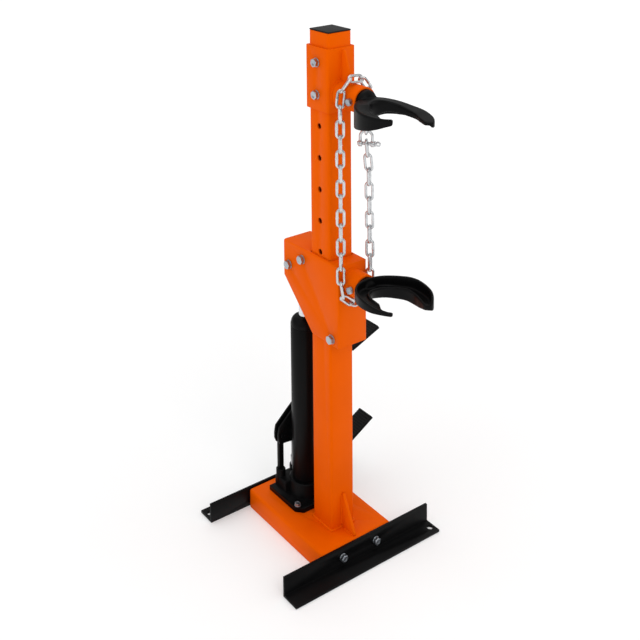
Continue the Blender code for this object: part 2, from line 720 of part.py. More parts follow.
def build_fulcrum():
    """Upright link that carries the pedal's fulcrum pin."""
    link = add("fulcrum_link", plate([(FULCRUM_X + x, z) for x, z in FULCRUM_LINK],
                                     (PUMP_Y - 4, PUMP_Y + 4), "xz"), BLACK)
    cut(link, rod_y(FULCRUM_X, (PUMP_Y - 12, PUMP_Y + 12), PEDAL_PIN_Z, 4.8, 16))
    pedal_pin("fulcrum_pin", FULCRUM_X, 4.5)


def sloped(start, slope, stations):
    """(x, z) points from (distance up the slope, rise square to it) stations."""
    cosine, sine = math.cos(math.radians(slope)), math.sin(math.radians(slope))
    return [(start[0] + run * cosine - rise * sine, start[1] + run * sine + rise * cosine)
            for run, rise in stations]


PEDAL_SLOPE = 21.0
PEDAL_TIP = (240.0, 338.0)      # x, z of the tread's outer lower edge
CHEEK = [(-40, 151), (-44, 161), (-44, 174), (-41, 189), (-6, 219), (24, 243),
         (56, 259), (56, 243), (34, 216), (28, 152), (6, 147)]  # x, z
# (distance from the tip, rise) stations
PEDAL_ARM = [(-215, -9), (-85, -9), (-60, -1), (-60, 2), (-215, 5)]
PEDAL_TREAD = [(-85, 0), (0, 0), (0, 4.5), (-85, 4.5)]
PEDAL_PAD = [(-80, 4.8), (-1, 4.8), (-1, 9.0), (-80, 9.0)]


def build_pump_pedal():
    """Two cheek plates, joined by the arm that runs out to the tread."""
    joint = "pump_pedal_axis"
    pedal = add("pump_pedal", plate(CHEEK, (PUMP_Y - 8.4, PUMP_Y - 4.4), "xz"), BLACK, joint)
    join(pedal, plate(CHEEK, (PUMP_Y + 4.4, PUMP_Y + 8.4), "xz"))
    join(pedal, plate(sloped(PEDAL_TIP, PEDAL_SLOPE, PEDAL_ARM),
                      (PUMP_Y - 8, PUMP_Y + 8), "xz"))
    join(pedal, plate(sloped(PEDAL_TIP, PEDAL_SLOPE, PEDAL_TREAD), (121, 164), "xz"))
    through = (PUMP_Y - 20, PUMP_Y + 20)
    cut(pedal, rod_y(FULCRUM_X, through, PEDAL_PIN_Z, 4.8, 16))
    # slot for the plunger's pin
    left, right, bottom, top = PUMP_X - 5.4, PUMP_X + 10, 161.8, 175
    cut(pedal, plate([(left, bottom), (right, bottom), (right, top), (left, top)],
                     through, "xz"))
    add("pump_pedal_pad", plate(sloped(PEDAL_TIP, PEDAL_SLOPE, PEDAL_PAD), (122, 163), "xz",
                                bevel=0.8), RUBBER, joint)


# ---------------------------------------------------------------- release pedal and valve
RELEASE_SLOPE = 28.5
FINGER_TIP_X = RELEASE_X - 6    # left face of the finger that meets the valve
# (distance from the pivot, rise) stations
RELEASE_ARM = [(-2, -7), (82, -7), (100, -1), (100, 1), (80, 2), (-2, 7)]
RELEASE_TREAD = [(84, -2), (161, -2), (161, 2.5), (84, 2.5)]
RELEASE_PAD = [(86, 2.8), (160, 2.8), (160, 7), (86, 7)]


def build_release_pedal():
    joint = "release_pedal_axis"
    pivot = (RELEASE_X, RELEASE_Z)
    arm = sloped(pivot, RELEASE_SLOPE, RELEASE_ARM)
    arm += [(RELEASE_X - 7, RELEASE_Z + 3), (RELEASE_X - 7, RELEASE_Z - 2)]
    pedal = add("release_pedal", plate(arm, (RELEASE_Y - 13, RELEASE_Y + 13), "xz"), BLACK,
                joint)
    join(pedal, plate(sloped(pivot, RELEASE_SLOPE, RELEASE_TREAD), (100, 141), "xz"))
    # finger under the pivot that pushes the valve in
    join(pedal, box((FINGER_TIP_X, RELEASE_X - 1), (RELEASE_Y - 6, RELEASE_Y + 6),
                    (RELEASE_Z - 15, RELEASE_Z)))
    cut(pedal, rod_y(RELEASE_X, (95, 145), RELEASE_Z, 4.3, 16))
    add("release_pedal_pad", plate(sloped(pivot, RELEASE_SLOPE, RELEASE_PAD), (101, 140),
                                   "xz", bevel=0.8), RUBBER, joint)


def build_release_pin_and_valve():
    pin = add("release_pivot_pin", rod_y(RELEASE_X, (98.5, 141), RELEASE_Z, 4.0, 16), ZINC)
    join(pin, rod_y(RELEASE_X, (98.0, 100.6), RELEASE_Z, 6.5, 16))
    add("release_valve", rod_x((24, FINGER_TIP_X - GAP), RELEASE_Y, VALVE_Z, 4.1, 16), STEEL,
        "release_valve_axis")


# ---------------------------------------------------------------- chain
CHAIN_Y = -73.5
LINK_COUNT = 33
LINK_LENGTH, LINK_WIDTH, LINK_WIRE = 39.6, 19.0, 5.6
LINK_TWISTS = (33, -57)         # degrees, even and odd links
LOOP_HALF_X = 38.0
LOOP_RISE = 40.5                # from a pipe's axis to the loop's top or bottom

SHACKLE_X, SHACKLE_Z = 29.0, 866.0
SHACKLE_R, SHACKLE_WIRE = 12.0, 5.8
SHACKLE_LEG = 14.0              # straight part of the bow's legs
SHACKLE_TURN = math.radians(-50)  # the shackle hangs turned a little
SHACKLE_ACROSS = Vector((-math.sin(SHACKLE_TURN), math.cos(SHACKLE_TURN), 0.0))

# heights where the chain's end links hook on to the bow and the pin
BOW_END = SHACKLE_Z + SHACKLE_LEG + SHACKLE_R - SHACKLE_WIRE / 2 - 1.4
PIN_END = SHACKLE_Z + 4.9

# last run, up to the pin: eases in towards the column, then bends over to the shackle
LEAN_IN, LEAN_LENGTH, BEND_Z = 2.4, 227, 813


def chain_link(middle, direction, across, arc_steps=4, sides=4):
    """One oval link of round wire, drawn coarse."""
    run = Vector(direction).normalized()
    across = Vector(across).normalized()
    normal = run.cross(across)
    bend_r = (LINK_WIDTH - LINK_WIRE) / 2
    half = (LINK_LENGTH - LINK_WIDTH) / 2
    path = []
    for sign in (1, -1):
        for i in range(arc_steps + 1):
            angle = -math.pi / 2 + math.pi * i / arc_steps
            path.append((run * (half + bend_r * math.cos(angle))
                         + across * bend_r * math.sin(angle)) * sign)
    shape = bmesh.new()
    rings = []
    for i, point in enumerate(path):
        tangent = (path[(i + 1) % len(path)] - path[i - 1]).normalized()
        side = tangent.cross(normal).normalized()
        ring = []
        for j in range(sides):
            angle = math.tau * j / sides
            offset = (side * math.cos(angle) + normal * math.sin(angle)) * LINK_WIRE / 2
            ring.append(shape.verts.new((Vector(middle) + point + offset) * 0.001))
        rings.append(ring)
    for i, ring in enumerate(rings):
        bridge(shape, ring, rings[(i + 1) % len(rings)])
    return shape


def loop_point(distance):
    """(x, z) on the loop, distance along it from the shackle's bow: up, over the upper
    pipe, down the left side, under the lower pipe and up to the shackle's pin."""
    rise = UPPER_Z - BOW_END
    arc = math.pi * math.sqrt((LOOP_HALF_X ** 2 + LOOP_RISE ** 2) / 2)
    drop = UPPER_Z - LOWER_Z
    if distance < rise:
        return (SHACKLE_X + (LOOP_HALF_X - SHACKLE_X) * distance / rise, BOW_END + distance)
    distance -= rise
    if distance < arc:
        angle = math.pi * distance / arc
        return LOOP_HALF_X * math.cos(angle), UPPER_Z + LOOP_RISE * math.sin(angle)
    distance -= arc
    if distance < drop:
        return -LOOP_HALF_X, UPPER_Z - distance
    distance -= drop
    if distance < arc:
        angle = math.pi * distance / arc
        return -LOOP_HALF_X * math.cos(angle), LOWER_Z - LOOP_RISE * math.sin(angle)
    distance -= arc
    z = LOWER_Z + distance
    lean = LEAN_IN * min(distance / LEAN_LENGTH, 1.0)
    bend = (LOOP_HALF_X - LEAN_IN - SHACKLE_X) * clamp01((z - BEND_Z) / (PIN_END - BEND_Z))
    return LOOP_HALF_X - lean - bend, z


def bisect(low, high, falls_short):
    """Value between low and high where falls_short turns false."""
    for _ in range(40):
        middle = (low + high) / 2
        if falls_short(middle):
            low = middle
        else:
            high = middle
    return high


def march(pitch):
    """Link ends one pitch apart along the loop."""
    ends = [loop_point(0)]
    distance = 0.0
    for _ in range(LINK_COUNT):
        distance = bisect(distance, distance + 2 * pitch,
                          lambda d: math.dist(loop_point(d), ends[-1]) < pitch)
        ends.append(loop_point(distance))
    return ends


def build_chain():
    # the pitch that just closes the loop
    pitch = bisect(27.0, 32.0, lambda trial: march(trial)[-1][1] < PIN_END)
    ends = march(pitch)
    chain = None
    for i, ((x0, z0), (x1, z1)) in enumerate(zip(ends, ends[1:])):
        run = Vector((x1 - x0, 0, z1 - z0))
        if i in (0, LINK_COUNT - 1):           # square to the shackle's pin
            across = SHACKLE_ACROSS
        else:
            twist = math.radians(LINK_TWISTS[i % 2])
            normal = Vector((run.z, 0, -run.x)).normalized()
            across = normal * math.cos(twist) + Vector((0, 1, 0)) * math.sin(twist)
        link = chain_link(((x0 + x1) / 2, CHAIN_Y, (z0 + z1) / 2), run, across)
        if chain is None:
            chain = add("chain", link, ZINC, "bracket_axis", smooth=60)
        else:
            join(chain, link)


# ---------------------------------------------------------------- shackle
def hung(shape):
    """Move a shape from the shackle's own frame (origin on its pin, pin along X) to its
    place on the chain."""
    matrix = (Matrix.Translation(place((SHACKLE_X, CHAIN_Y, SHACKLE_Z)))
              @ Matrix.Rotation(SHACKLE_TURN, 4, "Z"))
    bmesh.ops.transform(shape, matrix=matrix, verts=shape.verts)
    return shape


def build_shackle():
    """Bow shackle closing the loop: legs either side of the chain, pin across below."""
    arc = []
    for i in range(9):
        angle = math.pi * i / 8
        arc.append((-SHACKLE_R * math.cos(angle), 0,
                    SHACKLE_LEG + SHACKLE_R * math.sin(angle)))
    points = [(-SHACKLE_R, 0, -4.0), *arc, (SHACKLE_R, 0, -4.0)]
    wire = wire_curve("shackle_bow", points, radius=SHACKLE_WIRE / 2, bevel_resolution=2)
    bow = add("shackle_bow", hung(curve_shape(wire)), ZINC, "bracket_axis", smooth=60)
    for side in (-1, 1):
        eye = (side * (SHACKLE_R - 3.6), side * (SHACKLE_R + 3.6))
        join(bow, hung(rod_x(eye, 0, 0, 6.6, 14)))
    cut(bow, hung(rod_x(span(30), 0, 0, 3.9, 12)))
    pin = add("shackle_pin", hung(rod_x((-SHACKLE_R - 6, SHACKLE_R + 8), 0, 0, 3.5, 12)),
              ZINC, "bracket_axis")
    join(pin, hung(rod_x((SHACKLE_R + 4.2, SHACKLE_R + 9.5), 0, 0, 6.0, 12)))


# ---------------------------------------------------------------- assembly
# the boolean helpers are numbered in this order
base_frame = build_base()
build_feet()
build_foot_bolts()
build_column()
build_gusset()
build_column_cap()
build_bracket()
build_yoke("upper_yoke", UPPER_Z, UPPER_JAW, opens_up=False)
build_carriage()
build_yoke("lower_yoke", LOWER_Z, LOWER_JAW, opens_up=True)
build_rollers()
build_jack_base(base_frame)
build_jack_body()
build_ram()
build_pump()
build_return_spring()
build_fulcrum()
build_pump_pedal()
build_release_pedal()
build_release_pin_and_valve()
build_chain()
build_shackle()
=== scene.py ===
"""Looks of the spring compressor stand: materials, finer meshes, light and camera."""
import json
import math

import bmesh
import bpy
from mathutils import Matrix, Vector


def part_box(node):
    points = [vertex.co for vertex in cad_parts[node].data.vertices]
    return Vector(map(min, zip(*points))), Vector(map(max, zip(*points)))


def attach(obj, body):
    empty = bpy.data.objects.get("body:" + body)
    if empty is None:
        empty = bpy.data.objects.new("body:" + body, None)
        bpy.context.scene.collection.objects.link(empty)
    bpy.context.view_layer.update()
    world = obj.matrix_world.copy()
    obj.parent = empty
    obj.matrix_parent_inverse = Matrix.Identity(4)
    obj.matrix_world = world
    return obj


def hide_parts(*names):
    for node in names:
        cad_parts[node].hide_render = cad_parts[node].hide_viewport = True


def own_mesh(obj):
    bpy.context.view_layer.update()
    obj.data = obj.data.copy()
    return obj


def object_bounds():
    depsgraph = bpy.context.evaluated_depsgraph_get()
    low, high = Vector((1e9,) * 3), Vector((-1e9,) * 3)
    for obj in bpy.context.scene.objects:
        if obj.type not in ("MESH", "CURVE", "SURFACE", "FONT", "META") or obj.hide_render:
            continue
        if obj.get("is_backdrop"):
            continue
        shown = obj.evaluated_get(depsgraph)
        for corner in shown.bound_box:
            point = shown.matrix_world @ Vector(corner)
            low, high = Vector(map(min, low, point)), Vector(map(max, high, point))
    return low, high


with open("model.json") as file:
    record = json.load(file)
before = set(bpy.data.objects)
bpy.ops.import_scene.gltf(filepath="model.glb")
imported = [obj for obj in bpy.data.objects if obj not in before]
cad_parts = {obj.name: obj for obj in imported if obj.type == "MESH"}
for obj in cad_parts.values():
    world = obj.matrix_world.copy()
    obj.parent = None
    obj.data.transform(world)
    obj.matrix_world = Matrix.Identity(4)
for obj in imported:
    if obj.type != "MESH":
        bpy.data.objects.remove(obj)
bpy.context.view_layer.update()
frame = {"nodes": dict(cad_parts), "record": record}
scene = bpy.context.scene
BODY = {n: b for b, ns in frame["record"]["behaviour"]["bodies"].items() for n in ns}
SLOT = {s["node"]: s["material_slot"] for s in frame["record"]["subparts"]}


def V(*p):
    return Vector(p) * 0.001


# ================================================================ materials
def new_mat(name):
    m = bpy.data.materials.new(name)
    m.use_nodes = True
    return m, m.node_tree, m.node_tree.nodes["Principled BSDF"]


def node(nt, kind, **kw):
    n = nt.nodes.new(kind)
    for k, v in kw.items():
        setattr(n, k, v)
    return n


def coords(nt, scale=(1, 1, 1)):
    tc = node(nt, "ShaderNodeTexCoord")
    mp = node(nt, "ShaderNodeMapping")
    mp.inputs["Scale"].default_value = scale
    nt.links.new(tc.outputs["Object"], mp.inputs["Vector"])
    return mp.outputs["Vector"]


def noise(nt, co, scale, detail=2.0, rough=0.5):
    n = node(nt, "ShaderNodeTexNoise")
    n.inputs["Scale"].default_value = scale
    n.inputs["Detail"].default_value = detail
    n.inputs["Roughness"].default_value = rough
    nt.links.new(co, n.inputs["Vector"])
    return n.outputs["Fac"]


def remap(nt, fac, a, b, lo=0.0, hi=1.0):
    r = node(nt, "ShaderNodeMapRange")
    r.inputs["From Min"].default_value = lo
    r.inputs["From Max"].default_value = hi
    r.inputs["To Min"].default_value = a
    r.inputs["To Max"].default_value = b
    nt.links.new(fac, r.inputs["Value"])
    return r.outputs["Result"]


def mix_rgb(nt, fac, a, b):
    m = node(nt, "ShaderNodeMix", data_type="RGBA")
    if isinstance(fac, float):
        m.inputs["Factor"].default_value = fac
    else:
        nt.links.new(fac, m.inputs["Factor"])
    for key, v in (("A", a), ("B", b)):
        sock = [s for s in m.inputs if s.name == key and s.type == "RGBA"][0]
        if isinstance(v, tuple):
            sock.default_value = (*v, 1.0)
        else:
            nt.links.new(v, sock)
    return [s for s in m.outputs if s.type == "RGBA"][0]


def bump(nt, height, strength, dist, normal=None):
    b = node(nt, "ShaderNodeBump")
    b.inputs["Strength"].default_value = strength
    b.inputs["Distance"].default_value = dist
    nt.links.new(height, b.inputs["Height"])
    if normal is not None:
        nt.links.new(normal, b.inputs["Normal"])
    return b.outputs["Normal"]


def edge_normal(nt, radius):
    b = node(nt, "ShaderNodeBevel", samples=4)
    b.inputs["Radius"].default_value = radius
    return b.outputs["Normal"]


def edge_mask(nt, normal):
    """1 on worn edges, 0 on flats: how far the rounded normal leaves the true one."""
    g = node(nt, "ShaderNodeNewGeometry")
    d = node(nt, "ShaderNodeVectorMath", operation="DOT_PRODUCT")
    nt.links.new(normal, d.inputs[0])
    nt.links.new(g.outputs["Normal"], d.inputs[1])
    return remap(nt, d.outputs["Value"], 1.0, 0.0, 0.90, 0.995)


def powder_coat(name, low, high, edge, rough, peel, coat, spec=0.18, tint=(1.0, 1.0, 1.0)):
    """Sprayed powder coat: slow drift in colour, orange-peel relief, edges that thin out."""
    m, nt, b = new_mat(name)
    co = coords(nt)
    nrm = edge_normal(nt, 0.0011)
    base = mix_rgb(nt, remap(nt, noise(nt, co, 9.0, 3.0), 0.0, 1.0, 0.3, 0.7), low, high)
    worn = node(nt, "ShaderNodeMath", operation="MULTIPLY")
    nt.links.new(edge_mask(nt, nrm), worn.inputs[0])
    nt.links.new(remap(nt, noise(nt, co, 160.0, 4.0), 0.0, 0.55, 0.35, 0.7), worn.inputs[1])
    nt.links.new(mix_rgb(nt, worn.outputs[0], base, edge), b.inputs["Base Color"])
    nt.links.new(remap(nt, noise(nt, co, 60.0, 4.0), rough - 0.05, rough + 0.07), b.inputs["Roughness"])
    nt.links.new(bump(nt, noise(nt, co, 520.0, 1.5), peel, 0.0004, nrm), b.inputs["Normal"])
    b.inputs["Coat Weight"].default_value = coat
    b.inputs["Coat Roughness"].default_value = 0.12
    b.inputs["Specular IOR Level"].default_value = spec
    b.inputs["Specular Tint"].default_value = (*tint, 1.0)
    return m


def metal(name, low, high, rough, scratch, rings=None):
    m, nt, b = new_mat(name)
    co = coords(nt)
    nrm = edge_normal(nt, 0.0005)
    nt.links.new(mix_rgb(nt, remap(nt, noise(nt, co, 70.0, 5.0), 0.0, 1.0, 0.3, 0.7), low, high),
                 b.inputs["Base Color"])
    nt.links.new(remap(nt, noise(nt, co, 190.0, 4.0), rough - 0.07, rough + 0.12), b.inputs["Roughness"])
    b.inputs["Metallic"].default_value = 1.0
    h = noise(nt, co, 900.0, 2.0)
    if rings:                              # turning marks, fine rings along one axis
        w = node(nt, "ShaderNodeTexWave", wave_type="BANDS", bands_direction=rings)
        w.inputs["Scale"].default_value = 260.0
        w.inputs["Distortion"].default_value = 0.6
        nt.links.new(co, w.inputs["Vector"])
        h = w.outputs["Fac"]
    nt.links.new(bump(nt, h, scratch, 0.0002, nrm), b.inputs["Normal"])
    return m


ORANGE = powder_coat("orange_powder_coat", (0.76, 0.098, 0.0), (0.81, 0.108, 0.0), (0.88, 0.16, 0.01), 0.42, 0.05, 0.0,
                     0.14, (1.0, 0.42, 0.05))
ORANGE.node_tree.nodes["Principled BSDF"].inputs["IOR"].default_value = 1.25
BLACK = powder_coat("black_powder_coat", (0.0018, 0.0018, 0.0020), (0.0030, 0.0030, 0.0032), (0.008, 0.008, 0.008), 0.40, 0.10, 0.0,
                    0.09)
CAST = powder_coat("black_painted_casting", (0.0016, 0.0016, 0.0018), (0.0030, 0.0030, 0.0032), (0.008, 0.008, 0.008), 0.36, 0.20, 0.0,
                   0.09)
ZINC = metal("bright_zinc", (0.52, 0.53, 0.545), (0.68, 0.69, 0.70), 0.26, 0.05)
BOLT = metal("zinc_bolt", (0.33, 0.36, 0.40), (0.50, 0.53, 0.56), 0.28, 0.06)
STEEL = metal("turned_steel", (0.36, 0.36, 0.37), (0.46, 0.46, 0.47), 0.32, 0.10, "Z")
CHROME = metal("hard_chrome", (0.68, 0.69, 0.71), (0.75, 0.76, 0.78), 0.14, 0.01)


def moulded(name, low, high, rough, grain_scale, strength, spec=0.16):
    m, nt, b = new_mat(name)
    co = coords(nt)
    nrm = edge_normal(nt, 0.0008)
    v = node(nt, "ShaderNodeTexVoronoi")
    v.inputs["Scale"].default_value = grain_scale
    nt.links.new(co, v.inputs["Vector"])
    nt.links.new(mix_rgb(nt, noise(nt, co, 30.0, 4.0), low, high), b.inputs["Base Color"])
    nt.links.new(remap(nt, noise(nt, co, 120.0, 3.0), rough - 0.06, rough + 0.06), b.inputs["Roughness"])
    nt.links.new(bump(nt, v.outputs["Distance"], strength, 0.0003, nrm), b.inputs["Normal"])
    b.inputs["Specular IOR Level"].default_value = spec
    return m


RUBBER = moulded("ribbed_rubber", (0.0035, 0.0035, 0.0035), (0.007, 0.007, 0.007), 0.62, 700.0, 0.10)
PLASTIC = moulded("grained_plastic", (0.0035, 0.0035, 0.0038), (0.006, 0.006, 0.0065), 0.42, 1100.0, 0.12)
MATS = {"orange_paint": ORANGE, "black_paint": BLACK, "black_rubber": RUBBER, "black_plastic": PLASTIC,
        "zinc_plate": ZINC, "hard_chrome": CHROME, "machined_steel": STEEL}
for n, s in SLOT.items():
    ob = frame["nodes"][n]
    ob.data.materials.clear()
    ob.data.materials.append(MATS[s])


# ================================================================ mesh helpers
def piece(name, bm, mat, like, *nodes, smooth=38):
    """New piece riding on the body of the CAD node `like`, standing in for `nodes`."""
    me = bpy.data.meshes.new(name)
    bmesh.ops.recalc_face_normals(bm, faces=bm.faces)
    bm.to_mesh(me)
    bm.free()
    me.materials.append(mat)
    me.shade_smooth()
    if smooth < 180:
        me.set_sharp_from_angle(angle=math.radians(smooth))
    ob = bpy.data.objects.new(name, me)
    scene.collection.objects.link(ob)
    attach(ob, BODY[like])
    if nodes:
        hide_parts(*nodes)
    return ob


def loft(rings, bm=None, close=False, caps=True):
    bm = bm or bmesh.new()
    vs = [[bm.verts.new(p) for p in r] for r in rings]
    pairs = list(zip(vs, vs[1:])) + ([(vs[-1], vs[0])] if close else [])
    for a, b in pairs:
        for k in range(len(a)):
            bm.faces.new((a[k], a[(k + 1) % len(a)], b[(k + 1) % len(a)], b[k]))
    if caps and not close:
        bm.faces.new(vs[0][::-1])
        bm.faces.new(vs[-1])
    return bm


def frame_of(direction):
    d = Vector(direction).normalized()
    u = d.orthogonal().normalized()
    if abs(d.z) < 0.9:
        u = Vector((0, 0, 1)) - d * d.z
        u.normalize()
    return d, u, d.cross(u)


def lathe(profile, at, axis=(0, 0, 1), n=72, bm=None):
    """Closed profile [(radius, height)] in mm turned about `axis` through `at`. A profile
    that starts and ends on the axis is capped, one that doesn't is a ring."""
    d, u, w = frame_of(axis)
    at = Vector(at)
    bm = bm or bmesh.new()
    solid = profile[0][0] == 0
    rings = []
    for r, h in (profile[1:-1] if solid else profile):
        rings.append([(at + d * h + (u * math.cos(a) + w * math.sin(a)) * r) * 0.001
                      for a in (math.tau * i / n for i in range(n))])
    return loft(rings, bm, close=not solid, caps=solid)


def rounded(points, radii, k=4):
    """Corners of a closed outline rounded to the given radii."""
    out = []
    n = len(points)
    for i, p in enumerate(points):
        p = Vector(p)
        a, b = Vector(points[i - 1]) - p, Vector(points[(i + 1) % n]) - p
        r = radii[i] if isinstance(radii, (list, tuple)) else radii
        if r <= 0:
            out.append(p)
            continue
        ang = a.angle(b)
        t = min(r / math.tan(ang / 2), a.length * 0.49, b.length * 0.49)
        p0, p1 = p + a.normalized() * t, p + b.normalized() * t
        for j in range(k + 1):
            s = j / k
            out.append(p0 * (1 - s) ** 2 + p * 2 * s * (1 - s) + p1 * s ** 2)
    return out


def tube(path, r, n=12, close=False, bm=None, radius=None, nrm=None):
    """Round wire along points in mm; radius(i) scales it."""
    path = [Vector(p) for p in path]
    m = len(path)
    rings, last = [], None
    for i, p in enumerate(path):
        if close:
            t = path[(i + 1) % m] - path[i - 1]
        else:
            t = path[min(i + 1, m - 1)] - path[max(i - 1, 0)]
        t.normalize()
        if nrm is not None:
            side = t.cross(nrm).normalized()
        elif last is None:
            side = t.orthogonal().normalized()
        else:
            side = (last - t * last.dot(t)).normalized()
        last = side
        up = t.cross(side)
        rr = r * (radius(i) if radius else 1.0)
        rings.append([(p + (side * math.cos(a) + up * math.sin(a)) * rr) * 0.001
                      for a in (math.tau * j / n for j in range(n))])
    return loft(rings, bm, close=close)


def baked(ob, mods):
    """Adds modifiers, applies them and returns the finished bmesh; drops the object."""
    for kind, kw in mods:
        m = ob.modifiers.new(kind.lower(), kind)
        for k, v in kw.items():
            setattr(m, k, v)
    dg = bpy.context.evaluated_depsgraph_get()
    dg.update()
    bm = bmesh.new()
    me = bpy.data.meshes.new_from_object(ob.evaluated_get(dg))
    bm.from_mesh(me)
    bpy.data.objects.remove(ob, do_unlink=True)
    return bm


def tmp_object(bm, name="tmp"):
    me = bpy.data.meshes.new(name)
    bmesh.ops.recalc_face_normals(bm, faces=bm.faces)
    bm.to_mesh(me)
    bm.free()
    ob = bpy.data.objects.new(name, me)
    scene.collection.objects.link(ob)
    return ob


def refined(name, node_name, width=0.8, seg=2, mat=None, angle=35, join_to=None):
    """The CAD shape with its sharp edges rounded for real."""
    src = frame["nodes"][node_name]
    bm = bmesh.new()
    bm.from_mesh(src.data)
    bmesh.ops.remove_doubles(bm, verts=bm.verts, dist=1e-6)
    bmesh.ops.dissolve_limit(bm, angle_limit=math.radians(0.6), verts=bm.verts, edges=bm.edges)
    ob = tmp_object(bm, name + "_tmp")
    bm = baked(ob, [("BEVEL", dict(width=width * 0.001, segments=seg, limit_method="ANGLE",
                                   angle_limit=math.radians(angle), use_clamp_overlap=True,
                                   harden_normals=False, miter_outer="MITER_ARC"))])
    return piece(name, bm, mat or MATS[SLOT[node_name]], node_name, node_name, smooth=40)


# ================================================================ sheet and tube work
refined("base_channel", "base_frame", 0.9)
refined("column_tube", "column", 0.7)
refined("column_gusset_plate", "column_gusset", 0.6)
refined("front_foot_angle", "front_foot", 0.7)
refined("rear_foot_angle", "rear_foot", 0.7)
refined("bracket_weldment", "upper_bracket", 0.8)
refined("carriage_weldment", "carriage", 0.8)
refined("end_cap", "column_cap", 0.6)
refined("jack_casting", "jack_base", 0.8, mat=CAST)
refined("pump_lever", "pump_pedal", 0.5)
refined("release_lever", "release_pedal", 0.6)
refined("link_bar", "fulcrum_link", 0.6)
refined("ram_eye", "ram_head", 0.8)


def weld(name, path, like, r=2.2, close=False, mat=ORANGE):
    """Ripple bead laid along a path in mm."""
    pts, left = [], 0.0
    path = [Vector(p) for p in path]
    if close:
        path = path + [path[0]]
    step = 0.8
    for a, b in zip(path, path[1:]):
        length = (b - a).length
        s = left
        while s < length:
            pts.append(a.lerp(b, s / length))
            s += step
        left = s - length
    def swell(i):
        end = 1.0 if close else min(1.0, (min(i, len(pts) - 1 - i) + 1) / 4)
        return end * (1.0 + 0.13 * abs(math.sin(i * math.pi / 4)) + 0.05 * math.sin(i * 0.37))
    return piece(name, tube(pts, r, n=8, close=close, radius=swell), mat, like, smooth=180)


def circle(c, r, axis, n=90, a0=0.0, a1=360.0):
    d, u, w = frame_of(axis)
    return [Vector(c) + (u * math.cos(a) + w * math.sin(a)) * r
            for a in (math.radians(a0 + (a1 - a0) * i / n) for i in range(n + (a1 - a0 < 360)))]


q = 30.6
sq = [Vector((x, y, 42.0)) for x, y in rounded([(-q, -q), (q, -q), (q, q), (-q, q)], 5.0, 6)]
weld("weld_column_base", sq, "column", 2.3, close=True)
for sx in (-1, 1):
    weld("weld_gusset_base_%s" % ("left" if sx < 0 else "right"), [(sx * 3.9, -66, 41.6), (sx * 3.9, -36, 41.6)], "base_frame", 1.7)
    weld("weld_gusset_column_%s" % ("left" if sx < 0 else "right"), [(sx * 3.9, -30.8, 46), (sx * 3.9, -30.8, 112)], "base_frame", 1.7)
    weld("weld_rib_%s" % ("left" if sx < 0 else "right"), [(sx * 3.3, -36.0, 1049), (sx * 3.3, -36.0, 993)], "upper_bracket", 1.5)
weld("weld_upper_pipe", circle((0, -36.0, 963), 27.6, (0, 1, 0)), "upper_bracket", 2.0, close=True)
weld("weld_lower_pipe", circle((0, -64.6, 586), 27.6, (0, 1, 0)), "carriage", 2.0, close=True)


# ================================================================ fasteners
def hex_ring(at, d, u, w, h, af, inset=0.0, n=48, chamfer=False, sign=1):
    """Ring of a hexagon; with chamfer, its corners drop along the chamfer's cone."""
    ap = af / 2
    out = []
    for i in range(n):
        a = math.tau * i / n
        k = (a + math.pi / 6) % (math.pi / 3) - math.pi / 6
        rh = ap / math.cos(k)
        z = h
        if chamfer:
            z = h - sign * (rh - ap * 0.96) * math.tan(math.radians(28))
        r = min(rh, ap * 0.96) if inset else rh
        out.append((at + d * z + (u * math.cos(a) + w * math.sin(a)) * r) * 0.001)
    return out


def hexbolt(name, node_name, direction, shank, af, head, nut=0.0, grip_end=0.0, washer=True, turn=0.0):
    """Hex bolt along `direction` from its head; washer, shank with thread, and nut."""
    lo, hi = (Vector(p) * 1000 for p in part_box(node_name))
    d, u, w = frame_of(direction)
    c, s = math.cos(turn), math.sin(turn)
    u, w = u * c + w * s, w * c - u * s
    mid = (lo + hi) / 2
    half = abs((hi - lo).dot(d)) / 2
    start, length = mid - d * half, 2 * half
    bm = bmesh.new()
    wt = 1.6 if washer else 0.0
    hh = head                                   # head height above the washer
    # head: top face, chamfer, flats, underside
    top = hex_ring(start, d, u, w, 0.0, af, inset=1)
    ch = hex_ring(start, d, u, w, 0.0, af, chamfer=True, sign=-1)
    low = hex_ring(start, d, u, w, hh, af)
    dish = [(start + d * 0.5 + (p * 1000 - start) * 0.55) * 0.001 for p in top]
    edge = [(start + (p * 1000 - start) * 0.66) * 0.001 for p in top]
    loft([dish, edge, top, ch, low], bm)
    if washer:
        r = af * 0.585
        lathe([(shank * 0.6, hh + 0.02), (r - 0.5, hh + 0.02), (r, hh + 0.45), (r, hh + wt - 0.05), (shank * 0.6, hh + wt - 0.05)],
              start, d, 40, bm)
    # shank, then thread rings at its end
    prof = [(0, hh), (shank, hh)]
    thread = max(0.0, min(nut + 4.0, length - hh - wt - 4)) if nut else 0.0
    z = length - thread
    prof.append((shank, z))
    while thread and z < length - 1.2:
        prof += [(shank, z + 0.15), (shank * 0.9, z + 0.55)]
        z += 0.8
    prof += [(shank * 0.9, length - 0.6), (shank * 0.78, length), (0, length)]
    lathe(prof, start, d, 24, bm)
    if nut:
        n0, n1 = length - 2 - nut, length - 2
        a0 = hex_ring(start, d, u, w, n0, af)
        a1 = hex_ring(start, d, u, w, n1, af, chamfer=True, sign=1)
        a2 = hex_ring(start, d, u, w, n1, af, inset=1)
        loft([a0, a1, a2], bm)
    return piece(name, bm, BOLT, node_name, node_name, smooth=32)


